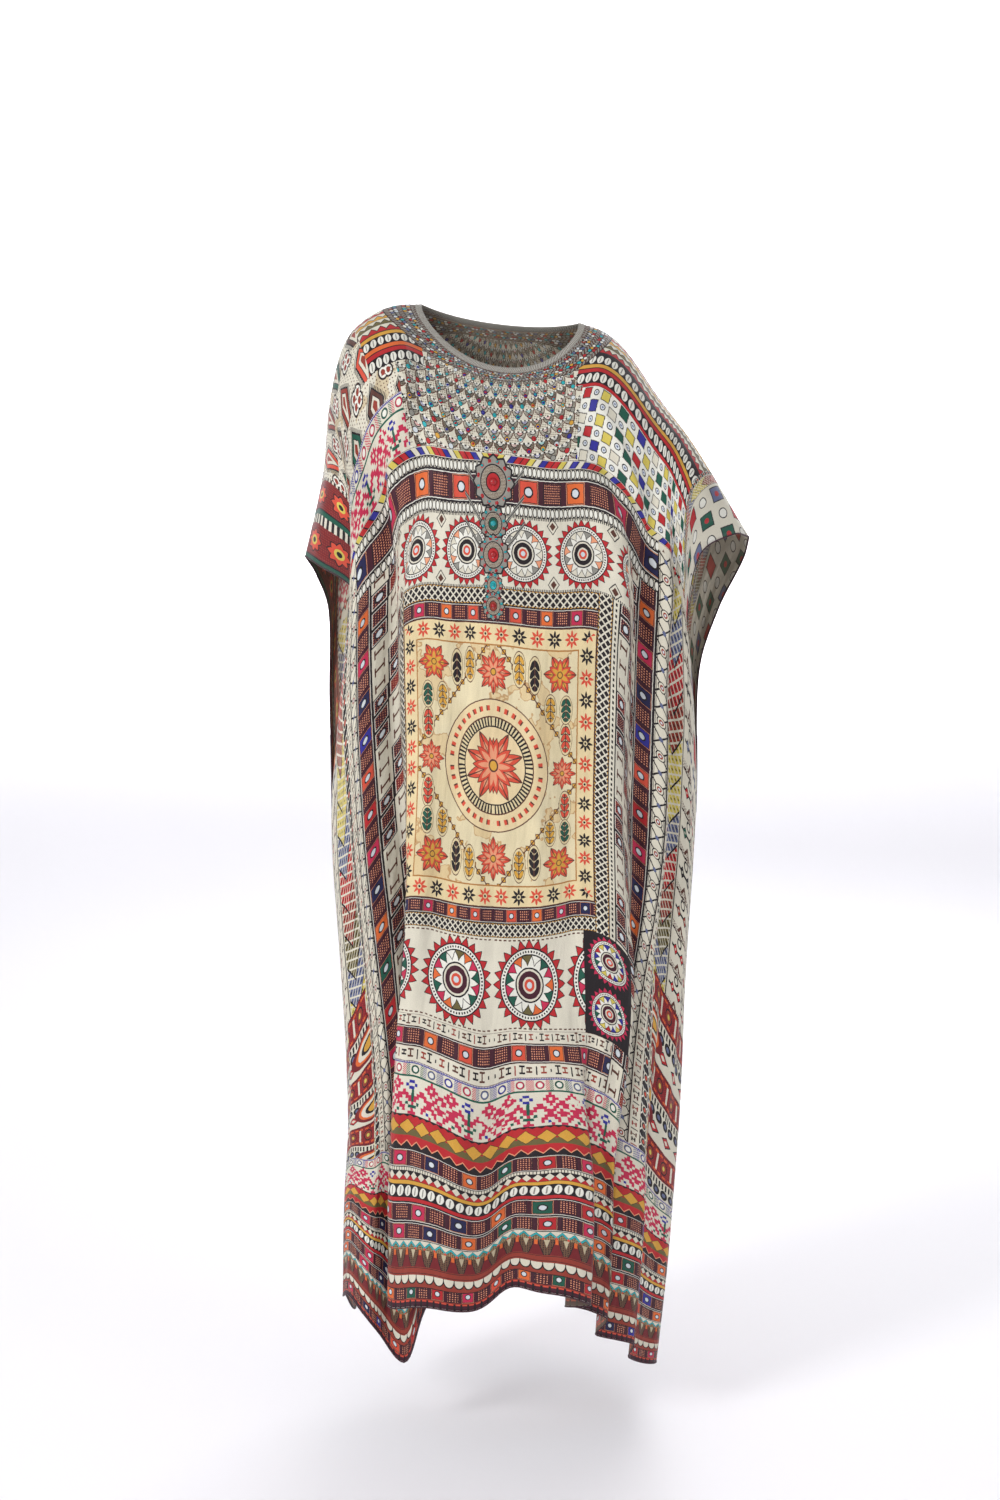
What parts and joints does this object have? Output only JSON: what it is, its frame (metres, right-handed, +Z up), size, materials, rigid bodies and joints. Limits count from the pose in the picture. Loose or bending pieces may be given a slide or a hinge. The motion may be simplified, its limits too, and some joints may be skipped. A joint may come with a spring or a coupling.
{
  "type": "kaftan",
  "caption": "Long loose round-necked garment with short batwing sleeves, sewn at the shoulders and sides and open at the neck, cuffs and hem.",
  "frame": {"origin": "where the garment is held: midway between the two shoulders, at the height of the neck opening's sides", "axes": "+Z up, -Y out of the front, +X to the right of someone who looks at the front"},
  "size_m": [0.5941, 0.3489, 1.4567],
  "materials": {
    "printed_silk": "fine printed silk crepe with a soft sheen",
    "beaded_binding": "narrow binding set with small beads"
  },
  "bodies": {
    "root": {"front_panel": "printed_silk", "back_panel": "printed_silk", "neck_binding": "beaded_binding"}
  },
  "joints": []
}
